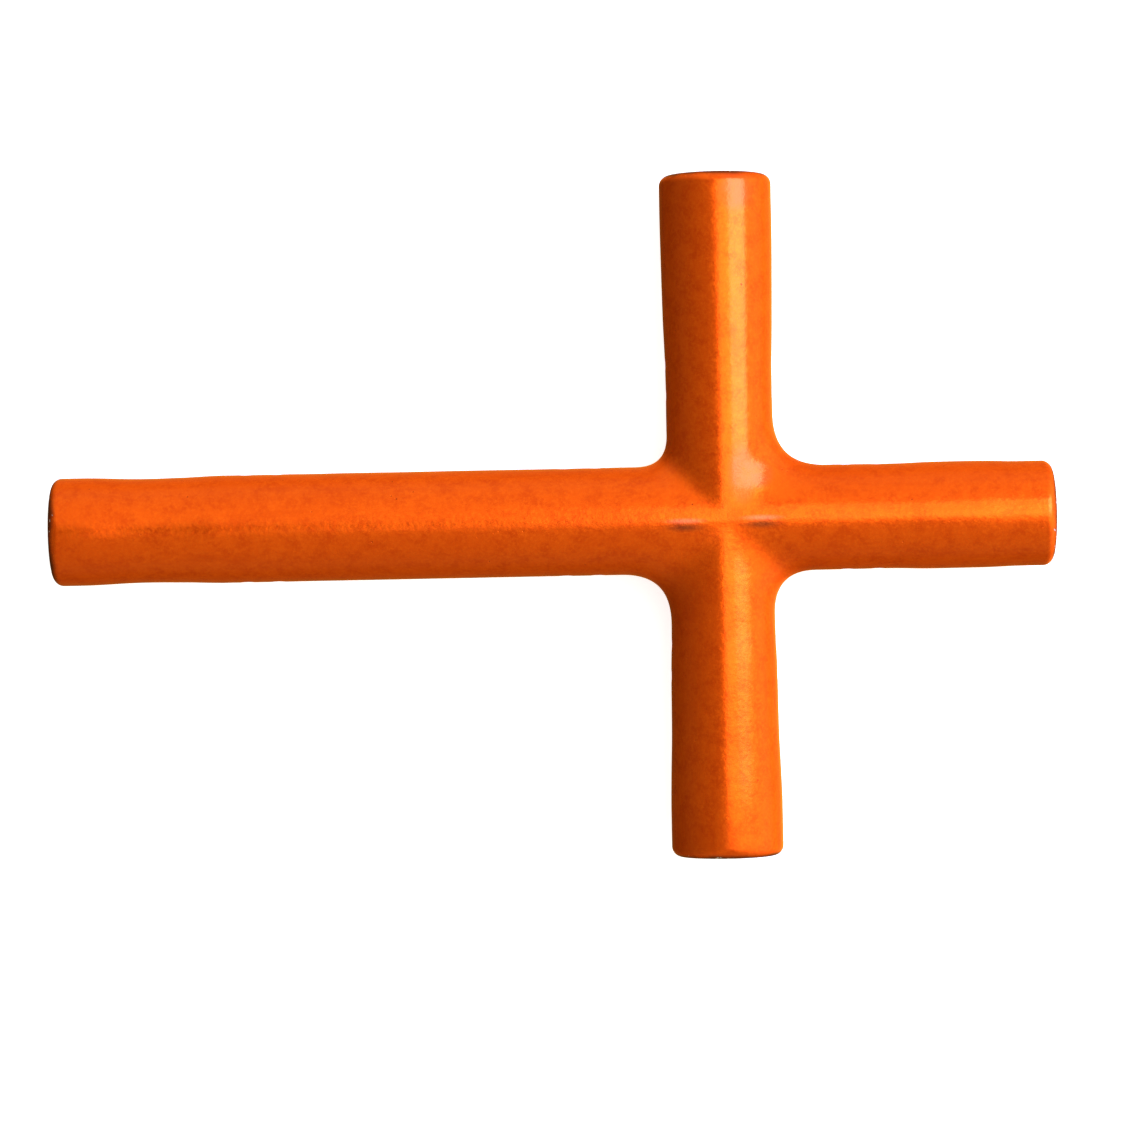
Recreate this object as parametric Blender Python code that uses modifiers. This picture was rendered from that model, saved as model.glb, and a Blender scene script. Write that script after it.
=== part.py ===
"""Four-way fire hydrant wrench, lying flat.

A cast cross hub carries three short socket heads and one long tubular arm with a fourth head.
Every joint is a spigot in a bore, held by two slotted spring pins. Metres, +Z up. The long arm
points to -X, and z = 0 is the surface that the tool lies on.
"""

import math
from collections import namedtuple

import bmesh
import bpy
from mathutils import Matrix, Vector

# Reaches, from the hub's axis to each mouth
LONG_REACH = 0.3000
EAST_REACH = 0.1485
NORTH_REACH = 0.1545
SOUTH_REACH = 0.1510

# Arms and joints
TUBE_RADIUS = 0.02415
TUBE_WALL = 0.0040
NORTH_ROOT = 0.0239
SOUTH_ROOT = 0.0233
EAST_ROOT = 0.0236
NORTH_MOUTH = 0.02525
GAP = 0.0003
HUB_END = 0.046
SPIGOT_LENGTH = 0.034
SPIGOT_RADIUS = TUBE_RADIUS - TUBE_WALL - GAP
SPIGOT_CHAMFER = 0.001
CORE_RADIUS = 0.014
TUBE_END = 0.223

# Socket heads
RIM_ROUND = 0.0046
RIM_STEPS = 4
SOCKET_DEPTH = 0.036
NUT_CLEARANCE = 0.0008
LEAD_IN = 0.0016
PLUG_THICKNESS = 0.0050
PLUG_SHELL = 0.0020
PLUG_CHAMFER = 0.0008
SHOULDER = 0.0015

# Spring pins
PIN_RADIUS = 0.0030
PIN_WALL = 0.0012
PIN_LENGTH = 0.045
PIN_CHAMFER = 0.0008
PIN_SLOT_DEGREES = 30
PIN_STEPS = 10
FIRST_PIN = 0.010
PIN_PITCH = 0.014

# Hub cage: places on a quarter of it, measured from its centre
HUB_CREST = 0.0238
HUB_RIDGE = 0.017
HUB_SHOULDER = 0.0195
HUB_RING = 0.038
CREST_LIFT = 0.0190
OCTAGON_SHRINK = (4 + 2 * math.cos(math.pi / 4)) / 6
CROTCHES = {(-1, 1): (0.0251, 0.0246), (1, 1): (0.0300, 0.0284),
            (1, -1): (0.0281, 0.0281), (-1, -1): (0.0272, 0.0276)}

SEGMENTS = 36
HOLE_SEGMENTS = 12
HUB_LEVELS = 2

REST_HEIGHT = NORTH_MOUTH * math.cos(math.pi / SEGMENTS)
HUB_CENTRE = Vector(((LONG_REACH - EAST_REACH) / 2, (SOUTH_REACH - NORTH_REACH) / 2, REST_HEIGHT))

ORANGE = (0.85, 0.125, 0.008, 1.0)
BARE_STEEL = (0.42, 0.41, 0.39, 1.0)
SPRING_STEEL = (0.16, 0.16, 0.17, 1.0)

# A head's outline holds (distance from the hub's axis, radius) from its root to its mouth
Head = namedtuple("Head", "name turn reach outline sides size corner has_spigot")

HEADS = (
    Head("pentagon_head_large", 90, NORTH_REACH,
         ((HUB_END + GAP, NORTH_ROOT), (0.066, NORTH_ROOT), (0.092, 0.0246), (0.142, NORTH_MOUTH)),
         5, 0.0381, 0.0020, False),
    Head("square_head_large", 270, SOUTH_REACH,
         ((HUB_END + GAP, SOUTH_ROOT), (0.066, 0.0238), (0.098, 0.0242), (0.130, 0.02515)),
         4, 0.028575, 0.0025, False),
    Head("square_head_small", 0, EAST_REACH,
         ((HUB_END + GAP, EAST_ROOT), (0.078, EAST_ROOT), (0.094, 0.0240), (0.118, 0.0240), (0.134, 0.02355)),
         4, 0.0254, 0.0020, False),
    Head("pentagon_head_small", 180, LONG_REACH,
         ((TUBE_END + GAP, TUBE_RADIUS), (0.242, 0.0236), (0.262, 0.0234), (0.286, TUBE_RADIUS)),
         5, 0.03175, 0.0020, True),
)


def arm_matrix(turn, roll=math.pi / SEGMENTS):
    """World place of a shape that is built along +Z and points out along an arm.

    The roll of half a facet keeps the cross pins clear of the edges between facets.
    """
    outwards = Matrix.Rotation(math.radians(turn), 4, "Z") @ Matrix.Rotation(math.pi / 2, 4, "Y")
    return Matrix.Translation(HUB_CENTRE) @ outwards @ Matrix.Rotation(roll, 4, "Z")


def cross_matrix(turn, distance):
    """World place of a shape that is built along +Z and lies level across an arm."""
    along = Matrix.Rotation(math.radians(turn), 4, "Z") @ Matrix.Translation((distance, 0, 0))
    across = Matrix.Rotation(math.pi / 2, 4, "X") @ Matrix.Rotation(math.pi / HOLE_SEGMENTS, 4, "Z")
    return Matrix.Translation(HUB_CENTRE) @ along @ across


def clear_scene():
    for thing in list(bpy.data.objects):
        bpy.data.objects.remove(thing, do_unlink=True)


def new_collection(name):
    group = bpy.data.collections.new(name)
    bpy.context.scene.collection.children.link(group)
    return group


def new_material(name, colour, roughness, metallic):
    material = bpy.data.materials.new(name)
    material.use_nodes = True
    shader = material.node_tree.nodes["Principled BSDF"]
    shader.inputs["Base Color"].default_value = colour
    shader.inputs["Roughness"].default_value = roughness
    shader.inputs["Metallic"].default_value = metallic
    material.diffuse_color = colour
    return material


def place(name, shape, group, material=None, matrix=Matrix()):
    """Turn a bmesh into a named object of a collection."""
    mesh = bpy.data.meshes.new(name)
    shape.to_mesh(mesh)
    shape.free()
    thing = bpy.data.objects.new(name, mesh)
    thing.matrix_world = matrix
    if material:
        mesh.materials.append(material)
    group.objects.link(thing)
    return thing


def as_cutter(thing):
    thing.hide_render = True
    thing.display_type = "WIRE"
    return thing


def boolean(thing, cutter, operation):
    step = thing.modifiers.new(cutter.name, "BOOLEAN")
    step.solver = "EXACT"
    step.operation = operation
    step.object = cutter


def turned(name, profile, group, material, matrix, closed=True):
    """Spin a profile of (radius, height) points, outer side first and top to bottom."""
    shape = bmesh.new()
    points = [shape.verts.new((radius, 0, height)) for radius, height in profile]
    for first, second in zip(points, points[1:]):
        shape.edges.new((first, second))
    if closed:
        shape.edges.new((points[-1], points[0]))
    thing = place(name, shape, group, material, matrix)
    spin = thing.modifiers.new("turn", "SCREW")
    spin.axis = "Z"
    spin.steps = spin.render_steps = SEGMENTS
    spin.use_merge_vertices = True
    spin.merge_threshold = 0.00001
    spin.use_smooth_shade = True
    return thing


def add_rod(shape, radius, low, high, matrix=Matrix(), segments=SEGMENTS, chamfer=0.0):
    """Add a capped cylinder between two heights of its own axis."""
    middle = Matrix.Translation((0, 0, (low + high) / 2))
    rod = bmesh.ops.create_cone(shape, cap_ends=True, segments=segments, radius1=radius, radius2=radius,
                                depth=high - low, matrix=matrix @ middle)
    if chamfer:
        points = set(rod["verts"])
        rims = [edge for edge in shape.edges if points.issuperset(edge.verts)
                and any(len(face.verts) > 4 for face in edge.link_faces)]
        bmesh.ops.bevel(shape, geom=rims, offset=chamfer, segments=1, affect="EDGES")


def octagon_point(side, height, radius):
    """A corner of the octagon that smooths to a circle of this radius. Both steps are -1, 0 or 1."""
    reach = radius / OCTAGON_SHRINK
    if side and height:
        reach *= math.sqrt(0.5)
    return side * reach, height * reach


def cage_point(step_x, step_y, step_z):
    """Place of one point of the hub's middle block. The steps are -1, 0 or 1 along each axis."""
    ridge = (6 * HUB_CREST - 2 * CREST_LIFT) / 4
    if step_x and step_y and step_z:
        return Vector((step_x * HUB_SHOULDER, step_y * HUB_SHOULDER, step_z * CREST_LIFT))
    if step_x and step_y:
        reach_x, reach_y = [(6 * crotch - 2 * HUB_SHOULDER) / 4 for crotch in CROTCHES[step_x, step_y]]
        return Vector((step_x * reach_x, step_y * reach_y, 0))
    if step_z and (step_x or step_y):
        return Vector((step_x * HUB_RIDGE, step_y * HUB_RIDGE, step_z * ridge))
    crest = (6 * HUB_CREST - 2 * ridge) / 4
    return Vector((step_x * HUB_RIDGE, step_y * HUB_RIDGE, step_z * crest))


def draw_out(shape, faces, new_place):
    """Extrude a patch of faces, put each of its points in its new place, and return the new faces."""
    grown = bmesh.ops.extrude_face_region(shape, geom=faces)["geom"]
    bmesh.ops.delete(shape, geom=faces, context="FACES_ONLY")
    faces = [item for item in grown if isinstance(item, bmesh.types.BMFace)]
    for point in {point for face in faces for point in face.verts}:
        point.co = new_place(point.co)
    return faces


def add_stub(shape, out, radius, faces):
    """Draw a patch of the block's faces out into an octagonal stub, and return the edges of its end."""
    side = Vector((-out.y, out.x, 0))

    def on_octagon(block_place):
        sideways, upwards = octagon_point(round(block_place.dot(side)), round(block_place.z), radius)
        return out * HUB_RING + side * sideways + Vector((0, 0, upwards))

    faces = draw_out(shape, faces, on_octagon)
    faces = draw_out(shape, faces, lambda place: place + out * (HUB_END - HUB_RING))
    edges = {edge for face in faces for edge in face.edges}
    return [edge for edge in edges if not set(faces).issuperset(edge.link_faces)]


def hub_cage():
    """Coarse cage of the hub: a block of 3 x 3 x 3 points with an octagonal stub on each side."""
    shape = bmesh.new()
    bmesh.ops.create_cube(shape, size=2)
    bmesh.ops.subdivide_edges(shape, edges=shape.edges, cuts=1, use_grid_fill=True)
    crease = shape.edges.layers.float.new("crease_edge")
    steps = {point: tuple(round(value) for value in point.co) for point in shape.verts}
    sides = ((Vector((1, 0, 0)), EAST_ROOT), (Vector((0, 1, 0)), NORTH_ROOT),
             (Vector((-1, 0, 0)), TUBE_RADIUS), (Vector((0, -1, 0)), SOUTH_ROOT))
    patches = [[face for face in shape.faces if face.normal.dot(out) > 0.9] for out, _ in sides]
    for (out, radius), faces in zip(sides, patches):
        for edge in add_stub(shape, out, radius, faces):
            edge[crease] = 1.0
    for point, step in steps.items():
        if point.is_valid:
            point.co = cage_point(*step)
    loose = [point for point in shape.verts if not point.link_faces]
    bmesh.ops.delete(shape, geom=loose, context="VERTS")
    bmesh.ops.recalc_face_normals(shape, faces=shape.faces)
    return shape


def cross_rods(name, radius, reach, cutters, chamfer=0.0):
    """Two rods through the hub's centre, one along each pair of arms."""
    rods = []
    for turn in (0, 90):
        shape = bmesh.new()
        add_rod(shape, radius, -reach, reach, chamfer=chamfer)
        rods.append(as_cutter(place(f"{name}_{turn}", shape, cutters, None, arm_matrix(turn))))
    return rods


def make_hub(parts, cutters, pin_holes, paint):
    hub = place("cross_hub", hub_cage(), parts, paint, Matrix.Translation(HUB_CENTRE))
    smooth = hub.modifiers.new("smooth", "SUBSURF")
    smooth.levels = smooth.render_levels = HUB_LEVELS
    spigot_end = HUB_END + SPIGOT_LENGTH
    for spigots in cross_rods("spigots", SPIGOT_RADIUS, spigot_end, cutters, SPIGOT_CHAMFER):
        boolean(hub, spigots, "UNION")
    for core in cross_rods("core", CORE_RADIUS, 2 * spigot_end, cutters):
        boolean(hub, core, "DIFFERENCE")
    for holes in pin_holes:
        boolean(hub, holes, "DIFFERENCE")
    hub.data.shade_smooth()


def pin_hole_cutter(name, turn, stations, cutters):
    """Two level cylinders across an arm, one for each pin."""
    holes = bmesh.new()
    for station in stations:
        add_rod(holes, PIN_RADIUS + GAP, -2 * TUBE_RADIUS, 2 * TUBE_RADIUS,
                matrix=cross_matrix(turn, station), segments=HOLE_SEGMENTS)
    return as_cutter(place(name, holes, cutters))


def make_pins(name, turn, stations, parts, steel):
    """Slotted spring pins: an open C section with a chamfer at each end."""
    low, high = -PIN_LENGTH / 2, PIN_LENGTH / 2
    profile = ((PIN_RADIUS - PIN_CHAMFER / 2, high), (PIN_RADIUS, high - PIN_CHAMFER),
               (PIN_RADIUS, low + PIN_CHAMFER), (PIN_RADIUS - PIN_CHAMFER / 2, low))
    for number, station in enumerate(stations, 1):
        pin = turned(f"spring_pin_{name}_{number}", profile, parts, steel,
                     cross_matrix(turn, station), closed=False)
        pin.modifiers["turn"].angle = math.radians(360 - PIN_SLOT_DEGREES)
        pin.modifiers["turn"].steps = pin.modifiers["turn"].render_steps = PIN_STEPS
        wall = pin.modifiers.new("wall", "SOLIDIFY")
        wall.thickness = PIN_WALL
        wall.offset = -1


def make_tube(parts, pin_holes, paint):
    bore = TUBE_RADIUS - TUBE_WALL
    near, far = HUB_END + GAP, TUBE_END
    profile = ((TUBE_RADIUS, far), (TUBE_RADIUS, near), (bore, near), (bore, far))
    tube = turned("long_arm_tube", profile, parts, paint, arm_matrix(180))
    for holes in pin_holes:
        boolean(tube, holes, "DIFFERENCE")


def socket_sizes(head):
    """Radius over the corners and to the middle of the flats, with the nut's clearance."""
    size = head.size + NUT_CLEARANCE
    half = math.pi / head.sides
    corner = size / (1 + math.cos(half)) if head.sides % 2 else size / (2 * math.cos(half))
    return corner, corner * math.cos(half)


def socket_cutter(head, cutters):
    """Prism of the nut's shape, with rounded corners, from the socket's floor out past the mouth."""
    corner, _ = socket_sizes(head)
    prism = bmesh.new()
    low, high = head.reach - SOCKET_DEPTH, head.reach + SOCKET_DEPTH
    point_up = Matrix.Rotation(math.pi / 2 if head.sides % 2 else math.pi / head.sides, 4, "Z")
    bmesh.ops.create_cone(prism, cap_ends=True, segments=head.sides, radius1=corner, radius2=corner,
                          depth=high - low, matrix=point_up @ Matrix.Translation((0, 0, (low + high) / 2)))
    corners = [edge for edge in prism.edges if abs(edge.verts[0].co.z - edge.verts[1].co.z) > SOCKET_DEPTH]
    inner_angle = math.pi * (1 - 2 / head.sides)
    bmesh.ops.bevel(prism, geom=corners, offset=head.corner / math.tan(inner_angle / 2), segments=3,
                    profile=0.5, affect="EDGES")
    return as_cutter(place(f"socket_{head.name}", prism, cutters, None, arm_matrix(head.turn, roll=0)))


def make_head(head, parts, cutters, pin_holes, paint):
    _, flat = socket_sizes(head)
    plug_bore = flat - GAP
    shoulder = plug_bore - SHOULDER
    floor = head.reach - SOCKET_DEPTH
    shoulder_height = floor - PLUG_THICKNESS - GAP
    mouth = head.outline[-1][1]
    profile = [(flat + LEAD_IN, head.reach)]
    for number in range(RIM_STEPS + 1):
        angle = math.pi / 2 * (1 - number / RIM_STEPS)
        profile.append((mouth - RIM_ROUND * (1 - math.cos(angle)), head.reach - RIM_ROUND * (1 - math.sin(angle))))
    profile += [(radius, distance) for distance, radius in reversed(head.outline)]
    root = head.outline[0][0]
    if head.has_spigot:
        end = root - SPIGOT_LENGTH
        profile += [(SPIGOT_RADIUS, root), (SPIGOT_RADIUS, end + SPIGOT_CHAMFER),
                    (SPIGOT_RADIUS - SPIGOT_CHAMFER, end), (shoulder, end)]
    else:
        bore = TUBE_RADIUS - TUBE_WALL
        bore_end = HUB_END + SPIGOT_LENGTH + SPIGOT_CHAMFER
        profile += [(bore, root), (bore, bore_end), (shoulder, bore_end)]
    profile += [(shoulder, shoulder_height), (plug_bore, shoulder_height),
                (plug_bore, head.reach - LEAD_IN - GAP)]
    body = turned(head.name, profile, parts, paint, arm_matrix(head.turn))
    boolean(body, socket_cutter(head, cutters), "DIFFERENCE")
    boolean(body, pin_holes, "DIFFERENCE")


def make_plug(head, parts, steel):
    """Pressed cup that closes the bore behind a socket. Its flat face is the socket's floor."""
    _, flat = socket_sizes(head)
    radius = flat - 2 * GAP
    face = head.reach - SOCKET_DEPTH
    rim = face - PLUG_THICKNESS
    inner = radius - PLUG_SHELL
    profile = ((0, face), (radius - PLUG_CHAMFER, face), (radius, face - PLUG_CHAMFER), (radius, rim),
               (inner, rim), (inner, face - PLUG_SHELL), (0, face - PLUG_SHELL))
    turned(f"core_plug_{head.name}", profile, parts, steel, arm_matrix(head.turn), closed=False)


def main():
    clear_scene()
    parts = new_collection("fire_hydrant_wrench")
    cutters = new_collection("cutters")
    paint = new_material("orange_paint", ORANGE, 0.38, 0.0)
    bare = new_material("bare_steel", BARE_STEEL, 0.45, 1.0)
    spring = new_material("spring_steel", SPRING_STEEL, 0.40, 1.0)

    hub_stations = [HUB_END + FIRST_PIN, HUB_END + FIRST_PIN + PIN_PITCH]
    tube_stations = [TUBE_END - FIRST_PIN - PIN_PITCH, TUBE_END - FIRST_PIN]
    joints = {0: "east", 90: "north", 180: "west", 270: "south"}
    holes = {}
    for turn, name in joints.items():
        holes[turn] = pin_hole_cutter(f"pin_holes_{name}", turn, hub_stations, cutters)
        make_pins(name, turn, hub_stations, parts, spring)
    tube_holes = pin_hole_cutter("pin_holes_tube", 180, tube_stations, cutters)
    make_pins("tube", 180, tube_stations, parts, spring)

    make_hub(parts, cutters, holes.values(), paint)
    make_tube(parts, (holes[180], tube_holes), paint)
    for head in HEADS:
        make_head(head, parts, cutters, tube_holes if head.has_spigot else holes[head.turn], paint)
        make_plug(head, parts, bare)


main()
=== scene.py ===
"""Looks of the cross wrench for fire hydrants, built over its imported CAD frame.

The file is laid out as an add-on. Run as a script, it models every painted piece, the bare steel
ones and the studio, one operator after another.
"""

import itertools
import math
from contextlib import contextmanager

import bmesh
import bpy
from bpy.props import FloatProperty, FloatVectorProperty, IntProperty, PointerProperty
from mathutils import Matrix, Vector


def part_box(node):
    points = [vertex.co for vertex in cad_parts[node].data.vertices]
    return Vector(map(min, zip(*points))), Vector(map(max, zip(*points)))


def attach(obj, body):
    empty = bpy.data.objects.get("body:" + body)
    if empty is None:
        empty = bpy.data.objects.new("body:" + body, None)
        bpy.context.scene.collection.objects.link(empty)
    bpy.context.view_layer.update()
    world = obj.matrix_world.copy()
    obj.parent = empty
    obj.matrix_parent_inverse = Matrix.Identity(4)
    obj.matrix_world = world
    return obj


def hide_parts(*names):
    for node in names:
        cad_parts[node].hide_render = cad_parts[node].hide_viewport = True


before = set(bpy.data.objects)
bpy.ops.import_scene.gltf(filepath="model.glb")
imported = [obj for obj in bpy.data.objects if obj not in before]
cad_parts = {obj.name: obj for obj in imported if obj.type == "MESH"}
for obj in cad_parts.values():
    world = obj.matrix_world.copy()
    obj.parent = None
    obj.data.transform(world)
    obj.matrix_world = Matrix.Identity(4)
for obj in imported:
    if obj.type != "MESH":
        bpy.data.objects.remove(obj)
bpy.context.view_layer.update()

bl_info = {
    "name": "Hydrant Wrench",
    "version": (1, 0, 0),
    "blender": (4, 5, 0),
    "location": "3D View > Sidebar > Wrench",
    "description": "Models a painted cross wrench for fire hydrants over its CAD frame",
    "category": "Object",
}

# ---------------------------------------------------------------- places that the frame gives

UP = Vector((0, 0, 1))
OUTWARDS = {"east": Vector((1, 0, 0)), "north": Vector((0, 1, 0)),
            "west": Vector((-1, 0, 0)), "south": Vector((0, -1, 0))}
HEAD_NODES = {"north": "pentagon_head_large", "south": "square_head_large",
              "east": "square_head_small", "west": "pentagon_head_small"}
# The frame's tube is meshed with 36 flats, so its box is this much narrower than the true round
FACET_SHRINK = math.cos(math.pi / 36)


def node_size(node):
    low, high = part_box(node)
    return high - low


def node_middle(node):
    low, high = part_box(node)
    return (low + high) / 2


HUB = Vector((node_middle("pentagon_head_large").x, node_middle("square_head_small").y,
              node_middle("long_arm_tube").z))
REACH = {side: max(abs((corner - HUB).dot(out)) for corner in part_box(HEAD_NODES[side])
                   if (corner - HUB).dot(out) > 0)
         for side, out in OUTWARDS.items()}
TUBE_RADIUS = node_size("long_arm_tube").y / 2 / FACET_SHRINK
MOUTH_RADIUS = {"north": node_size("pentagon_head_large").x / 2,
                "south": node_size("square_head_large").x / 2,
                "east": node_size("square_head_small").y / 2,
                "west": TUBE_RADIUS}
TUBE_FAR = HUB.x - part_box("long_arm_tube")[0].x
SPIGOT_TIP = node_size("cross_hub").x / 2

# Distances from the hub of the two pins in each joint
PIN_STATIONS = {"east": (0.056, 0.070), "north": (0.056, 0.070), "west": (0.056, 0.070),
                "south": (0.056, 0.070), "tube": (0.199, 0.213)}
# Width of the rounding in each crotch, by its side along X and along Y
CROTCHES = {(-1, 1): 0.0140, (1, 1): 0.0235, (1, -1): 0.0190, (-1, -1): 0.0220}
# Depth in X and Y of each crotch in the hub's cage, by the same sides
CAGE_CROTCHES = {(-1, 1): (0.0251, 0.0246), (1, 1): (0.0300, 0.0284),
                 (1, -1): (0.0281, 0.0281), (-1, -1): (0.0272, 0.0276)}

TINY = 0.0001              # how far a point may be from the place where it is looked for
MIDDLE = 0.001             # how far from an axis a point is no longer in the middle
MERGE = 0.000001           # points closer than this are one
CLEAR = 0.0005             # how far past a face a point is surely beyond it
FIT = 0.0003               # gap of a sliding fit
CHAMFER = 0.001            # chamfer on a spigot's tip and on a pin's ends
FADE = 0.012               # length over which the hand-finished waves die out
PLUG_HEIGHT = 0.0050       # height of a pressed cup
PLUG_SHEET = 0.0020        # thickness of its sheet
PLUG_BEND = 0.0012         # outer radius of its bend
PIN_HALF = 0.0225          # half the length of a spring pin
PIN_WALL = 0.0012          # thickness of its wall


# ---------------------------------------------------------------- sizes and colours


def length(name, description, default):
    return FloatProperty(name=name, description=description, default=default, unit="LENGTH")


def number(name, description, default, **options):
    return FloatProperty(name=name, description=description, default=default, **options)


def count(name, description, default):
    return IntProperty(name=name, description=description, default=default, min=1)


def colour(name, description, default):
    return FloatVectorProperty(name=name, description=description, default=default, size=len(default),
                               subtype="COLOR", min=0, max=1)


class WrenchSizes(bpy.types.PropertyGroup):
    """Sizes of the modelled pieces."""

    hub_end: length("Hub end", "Hub axis to the end face of each stub", 0.0460)
    spigot_radius: length("Spigot radius", "Radius of the turned spigots", 0.01985)
    core_radius: length("Core radius", "Radius of the hub's cored passages", 0.0140)
    hub_levels: count("Hub smoothing", "Subdivision levels of the hub's cage", 4)
    crotch_fade: number("Crotch fade", "How fast the rounding dies out overhead", 0.9)
    north_root: length("North root radius", "Stub radius where the north head starts", 0.0239)
    south_root: length("South root radius", "Stub radius where the south head starts", 0.0233)
    east_root: length("East root radius", "Stub radius where the east head starts", 0.0236)
    rim_round: length("Rim rounding", "Radius of each mouth's outer edge", 0.0046)
    socket_depth: length("Socket depth", "Mouth to the floor of each socket", 0.0360)
    nut_clearance: length("Nut clearance", "Room around a nut of nominal size", 0.0008)
    lead_in: length("Lead-in", "Width of the turned lead-in on the socket's flats", 0.0016)
    pin_radius: length("Pin radius", "Outer radius of a spring pin", 0.0030)
    pin_hole: length("Pin hole radius", "Radius of the drilled pin holes", 0.0032)
    turning_steps: count("Turning steps", "Steps around each turned piece", 144)
    unevenness: length("Unevenness", "Height of the hand-finished waves", 0.00022)
    wave_length: length("Wave length", "Size of the hand-finished waves", 0.030)


class WrenchFinish(bpy.types.PropertyGroup):
    """Colours and finishes."""

    paint: colour("Paint", "Orange of the sprayed paint", (0.84, 0.098, 0.0020, 1.0))
    paint_deep: colour("Deep paint", "Redder orange where the coat is thick", (0.71, 0.068, 0.0013, 1.0))
    # Pale paint also colours the painted highlight at the north-east crotch.
    paint_pale: colour("Pale paint", "Yellower orange where the coat is thin", (0.93, 0.135, 0.0040, 1.0))
    # Grime also serves as painted shade: along the rims, widest on the west one, and under the hub's two
    # marks.
    grime_and_shade: colour("Grime", "Dirt in pits and along rims", (0.045, 0.018, 0.010, 1.0))
    # Primer also colours the painted highlight above the hub's two marks.
    primer_and_highlight: colour("Primer", "Pale primer under chipped paint", (0.50, 0.40, 0.36, 1.0))
    # The rubbed colour is painted highlight: the pale patches at the north mouth and on the hub, where the
    # light's reflection falls.
    highlight_patch: colour("Rubbed paint", "Paler paint where hands and blows thinned it", (0.80, 0.084, 0.011, 1.0))
    steel: colour("Bare steel", "Oiled machined steel", (0.36, 0.35, 0.33, 1.0))
    dark_steel: colour("Dark steel", "Black oxide of the spring pins", (0.07, 0.07, 0.075, 1.0))
    rust: colour("Rust", "Light rust in the sockets", (0.17, 0.060, 0.022, 1.0))
    metallic: number("Metal flake", "How metallic the paint is", 0.62, subtype="FACTOR", min=0, max=1)
    gloss_tint: colour("Gloss tint", "Colour of the paint's gloss", (1.0, 0.42, 0.08, 1.0))


class WrenchStudio(bpy.types.PropertyGroup):
    """Camera, floor and lights."""

    camera_height: length("Camera height", "Lens above the arms' axes", 1.80)
    view_width: length("View width", "Width in view at the arms' axes", 0.5069)
    camera_roll: number("Camera roll", "Turn of the camera about its line of sight", math.radians(-1.15),
                        unit="ROTATION")
    view_shift_x: length("View shift X", "View centre from the hub, along X", -0.0708)
    view_shift_y: length("View shift Y", "View centre from the hub, along Y", -0.0189)
    floor: colour("Floor", "Pale floor", (0.80, 0.80, 0.80, 1.0))
    floor_glow: number("Floor glow", "Light that the white table gives by itself", 0.80)
    east_wall: number("East wall", "Brightness of the light from the east", 2.2)
    north_wall: number("North wall", "Brightness of the light from the north", 1.1)
    south_wall: number("South wall", "Brightness of the light from the south", 0.50)
    west_wall: number("West wall", "Brightness of the light from the west", 0.23)
    wall_softness: number("Wall softness", "Width of the change overhead", 0.05)
    wall_shift: number("Wall shift", "How far the north wall's light reaches past overhead", 0.18)
    wall_fall: number("Wall fall", "Share of its light that a wall loses at the horizon", 0.15,
                      subtype="FACTOR", min=0, max=1)
    corner_softness: number("Corner softness", "Width of the change between walls", 0.55)
    horizon: number("Horizon", "How far below level the walls reach", 0.15)
    horizon_softness: number("Horizon softness", "Width of the change at the floor", 0.30)
    floor_bounce: colour("Floor bounce", "Warm light from below the horizon", (0.95, 0.72, 0.12, 1.0))
    wall_colour: colour("Wall colour", "Slightly warm white of the walls", (1.0, 0.97, 0.80, 1.0))
    window_power: number("Window power", "Power of the wide soft box", 4.3)
    core_colour: colour("Core colour", "Cool light of the soft boxes inside the wide one", (0.25, 0.25, 1.0))
    north_core_power: number("North core power", "Power over the north arm", 14.0)
    south_core_power: number("South core power", "Power over the south arm", 0.6)


def sizes():
    return bpy.context.scene.wrench_sizes


def finish():
    return bpy.context.scene.wrench_finish


def studio():
    return bpy.context.scene.wrench_studio


def root_radius(side):
    roots = {"east": sizes().east_root, "north": sizes().north_root, "south": sizes().south_root}
    return roots.get(side, TUBE_RADIUS)


def head_outline(side):
    """(distance from the hub's axis, radius) along a head's outside, from its root to its rim."""
    end, mouth = sizes().hub_end, MOUTH_RADIUS[side]
    outlines = {
        "north": ((end, root_radius("north")), (0.066, root_radius("north")), (0.092, 0.0246),
                  (0.142, mouth)),
        "south": ((end, root_radius("south")), (0.066, 0.0238), (0.098, 0.0242), (0.130, mouth)),
        "east": ((end, root_radius("east")), (0.078, 0.0236), (0.094, 0.0240), (0.118, 0.0240),
                 (0.134, 0.0236)),
        "west": ((TUBE_FAR, TUBE_RADIUS), (0.242, 0.0236), (0.262, 0.0234), (0.286, mouth)),
    }
    return outlines[side]


def socket_shape(side):
    """Sides, nominal size and corner rounding of a socket."""
    return {"north": (5, 0.0381, 0.0020), "south": (4, 0.028575, 0.0025),
            "east": (4, 0.0254, 0.0020), "west": (5, 0.03175, 0.0020)}[side]


def socket_radii(side):
    """Radius over a socket's corners and to the middle of its flats."""
    sides, nominal, _ = socket_shape(side)
    half = math.pi / sides
    size = nominal + sizes().nut_clearance
    corner = size / (1 + math.cos(half)) if sides % 2 else size / (2 * math.cos(half))
    return corner, corner * math.cos(half)


def arm_of(joint):
    return "west" if joint == "tube" else joint


def across(side):
    """Level direction across an arm."""
    return UP.cross(OUTWARDS[side])


# ---------------------------------------------------------------- modelling helpers


def deselect():
    if bpy.context.object and bpy.context.object.mode != "OBJECT":
        bpy.ops.object.mode_set(mode="OBJECT")
    bpy.ops.object.select_all(action="DESELECT")


def activate(piece):
    deselect()
    piece.select_set(True)
    bpy.context.view_layer.objects.active = piece


@contextmanager
def editing(piece):
    """Edit mode on one piece, with vertices as the selected element."""
    activate(piece)
    bpy.ops.object.mode_set(mode="EDIT")
    bpy.ops.mesh.select_mode(type="VERT")
    yield
    bpy.ops.object.mode_set(mode="OBJECT")


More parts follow.
